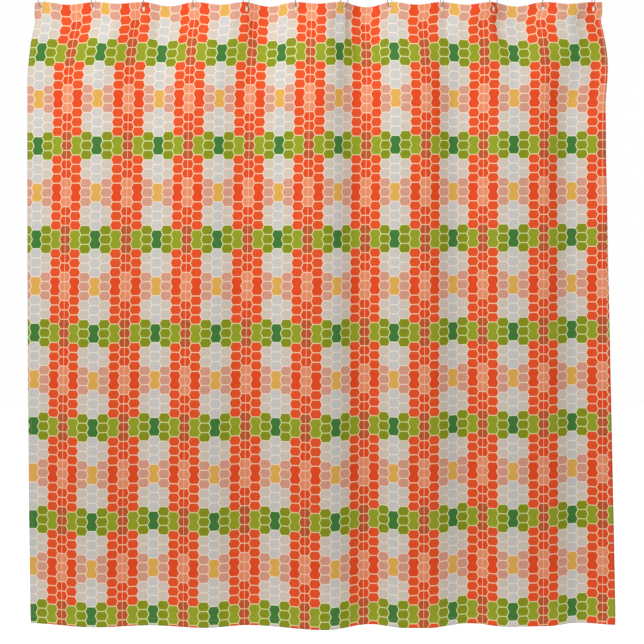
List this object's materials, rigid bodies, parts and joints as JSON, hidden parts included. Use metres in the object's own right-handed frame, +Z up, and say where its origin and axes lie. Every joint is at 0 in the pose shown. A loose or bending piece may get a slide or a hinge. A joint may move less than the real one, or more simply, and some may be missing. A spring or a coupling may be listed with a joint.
{
  "type": "shower curtain",
  "caption": "Printed fabric shower curtain with folded and sewn hems and stitched eyelets, hung in soft folds from pear-shaped wire hooks worn on a round rod.",
  "frame": {"origin": "on the axis of the curtain rod that the hooks are worn on, midway between the two end eyelets", "axes": "+X along the rod to the right, +Z up, the printed front faces -Y"},
  "size_m": [1.7801, 0.0755, 1.9448],
  "materials": {
    "printed_cloth": "matte plain-weave polyester with a printed mosaic",
    "cloth_reverse": "matte, nearly white, the print showing faintly through",
    "sewing_thread": "satin polyester thread",
    "eyelet_thread": "satin polyester thread, close zigzag",
    "chromed_wire": "polished"
  },
  "bodies": {
    "cloth": {"curtain_panel": "printed_cloth", "top_hem": "cloth_reverse", "bottom_hem": "cloth_reverse", "left_hem": "cloth_reverse", "right_hem": "cloth_reverse", "top_seam": "sewing_thread", "bottom_seam": "sewing_thread", "left_seam": "sewing_thread", "right_seam": "sewing_thread", "eyelet_01": "eyelet_thread"},
    "eyelet_02": {"eyelet_02": "eyelet_thread"},
    "eyelet_03": {"eyelet_03": "eyelet_thread"},
    "eyelet_04": {"eyelet_04": "eyelet_thread"},
    "eyelet_05": {"eyelet_05": "eyelet_thread"},
    "eyelet_06": {"eyelet_06": "eyelet_thread"},
    "eyelet_07": {"eyelet_07": "eyelet_thread"},
    "eyelet_08": {"eyelet_08": "eyelet_thread"},
    "eyelet_09": {"eyelet_09": "eyelet_thread"},
    "eyelet_10": {"eyelet_10": "eyelet_thread"},
    "eyelet_11": {"eyelet_11": "eyelet_thread"},
    "eyelet_12": {"eyelet_12": "eyelet_thread"},
    "hook_01": {"hook_01": "chromed_wire"},
    "hook_02": {"hook_02": "chromed_wire"},
    "hook_03": {"hook_03": "chromed_wire"},
    "hook_04": {"hook_04": "chromed_wire"},
    "hook_05": {"hook_05": "chromed_wire"},
    "hook_06": {"hook_06": "chromed_wire"},
    "hook_07": {"hook_07": "chromed_wire"},
    "hook_08": {"hook_08": "chromed_wire"},
    "hook_09": {"hook_09": "chromed_wire"},
    "hook_10": {"hook_10": "chromed_wire"},
    "hook_11": {"hook_11": "chromed_wire"},
    "hook_12": {"hook_12": "chromed_wire"}
  },
  "joints": [
    {"name": "draw_12", "type": "slide", "parent": "cloth", "child": "eyelet_12", "axis": [-1, 0, 0], "range_m": [0, 1.16427], "deforming": ["curtain_panel", "top_hem", "bottom_hem", "left_hem", "right_hem", "top_seam", "bottom_seam", "left_seam", "right_seam"]},
    {"name": "draw_11", "type": "slide", "parent": "cloth", "child": "eyelet_11", "axis": [-1, 0, 0], "range_m": [0, 1.05789]},
    {"name": "draw_10", "type": "slide", "parent": "cloth", "child": "eyelet_10", "axis": [-1, 0, 0], "range_m": [0, 0.95339]},
    {"name": "draw_09", "type": "slide", "parent": "cloth", "child": "eyelet_09", "axis": [-1, 0, 0], "range_m": [0, 0.84455]},
    {"name": "draw_08", "type": "slide", "parent": "cloth", "child": "eyelet_08", "axis": [-1, 0, 0], "range_m": [0, 0.73456]},
    {"name": "draw_07", "type": "slide", "parent": "cloth", "child": "eyelet_07", "axis": [-1, 0, 0], "range_m": [0, 0.63872]},
    {"name": "draw_06", "type": "slide", "parent": "cloth", "child": "eyelet_06", "axis": [-1, 0, 0], "range_m": [0, 0.53545]},
    {"name": "draw_05", "type": "slide", "parent": "cloth", "child": "eyelet_05", "axis": [-1, 0, 0], "range_m": [0, 0.43194]},
    {"name": "draw_04", "type": "slide", "parent": "cloth", "child": "eyelet_04", "axis": [-1, 0, 0], "range_m": [0, 0.32201]},
    {"name": "draw_03", "type": "slide", "parent": "cloth", "child": "eyelet_03", "axis": [-1, 0, 0], "range_m": [0, 0.215]},
    {"name": "draw_02", "type": "slide", "parent": "cloth", "child": "eyelet_02", "axis": [-1, 0, 0], "range_m": [0, 0.10947]},
    {"name": "swivel_01", "type": "hinge", "parent": "cloth", "child": "hook_01", "pos_m": [-0.83157, 0.00011, -0.05], "axis": [0, 0, 1], "range_deg": [-15, 30]},
    {"name": "swivel_02", "type": "hinge", "parent": "eyelet_02", "child": "hook_02", "pos_m": [-0.67521, -0.00006, -0.05], "axis": [0, 0, 1], "range_deg": [-30, 30]},
    {"name": "swivel_03", "type": "hinge", "parent": "eyelet_03", "child": "hook_03", "pos_m": [-0.52445, 0.00001, -0.05], "axis": [0, 0, 1], "range_deg": [-30, 30]},
    {"name": "swivel_04", "type": "hinge", "parent": "eyelet_04", "child": "hook_04", "pos_m": [-0.37159, -0.00008, -0.05], "axis": [0, 0, 1], "range_deg": [-30, 30]},
    {"name": "swivel_05", "type": "hinge", "parent": "eyelet_05", "child": "hook_05", "pos_m": [-0.21455, 0.00002, -0.05], "axis": [0, 0, 1], "range_deg": [-30, 12]},
    {"name": "swivel_06", "type": "hinge", "parent": "eyelet_06", "child": "hook_06", "pos_m": [-0.06666, -0.00016, -0.05], "axis": [0, 0, 1], "range_deg": [-30, 30]},
    {"name": "swivel_07", "type": "hinge", "parent": "eyelet_07", "child": "hook_07", "pos_m": [0.08086, -0.00004, -0.05], "axis": [0, 0, 1], "range_deg": [-30, 6]},
    {"name": "swivel_08", "type": "hinge", "parent": "eyelet_08", "child": "hook_08", "pos_m": [0.21778, -0.00007, -0.05], "axis": [0, 0, 1], "range_deg": [-18, 30]},
    {"name": "swivel_09", "type": "hinge", "parent": "eyelet_09", "child": "hook_09", "pos_m": [0.3749, 0.00007, -0.05], "axis": [0, 0, 1], "range_deg": [-30, 30]},
    {"name": "swivel_10", "type": "hinge", "parent": "eyelet_10", "child": "hook_10", "pos_m": [0.53039, -0.00005, -0.05], "axis": [0, 0, 1], "range_deg": [-30, 9]},
    {"name": "swivel_11", "type": "hinge", "parent": "eyelet_11", "child": "hook_11", "pos_m": [0.67968, 0.00009, -0.05], "axis": [0, 0, 1], "range_deg": [-30, 30]},
    {"name": "swivel_12", "type": "hinge", "parent": "eyelet_12", "child": "hook_12", "pos_m": [0.83167, 0.00005, -0.05], "axis": [0, 0, 1], "range_deg": [-30, 30]}
  ],
  "couplings": [
    {"joint": "draw_11", "follows": "draw_12", "ratio": 0.90862},
    {"joint": "draw_10", "follows": "draw_12", "ratio": 0.81886},
    {"joint": "draw_09", "follows": "draw_12", "ratio": 0.72537},
    {"joint": "draw_08", "follows": "draw_12", "ratio": 0.63091},
    {"joint": "draw_07", "follows": "draw_12", "ratio": 0.54858},
    {"joint": "draw_06", "follows": "draw_12", "ratio": 0.45989},
    {"joint": "draw_05", "follows": "draw_12", "ratio": 0.37098},
    {"joint": "draw_04", "follows": "draw_12", "ratio": 0.27656},
    {"joint": "draw_03", "follows": "draw_12", "ratio": 0.18465},
    {"joint": "draw_02", "follows": "draw_12", "ratio": 0.094007}
  ]
}
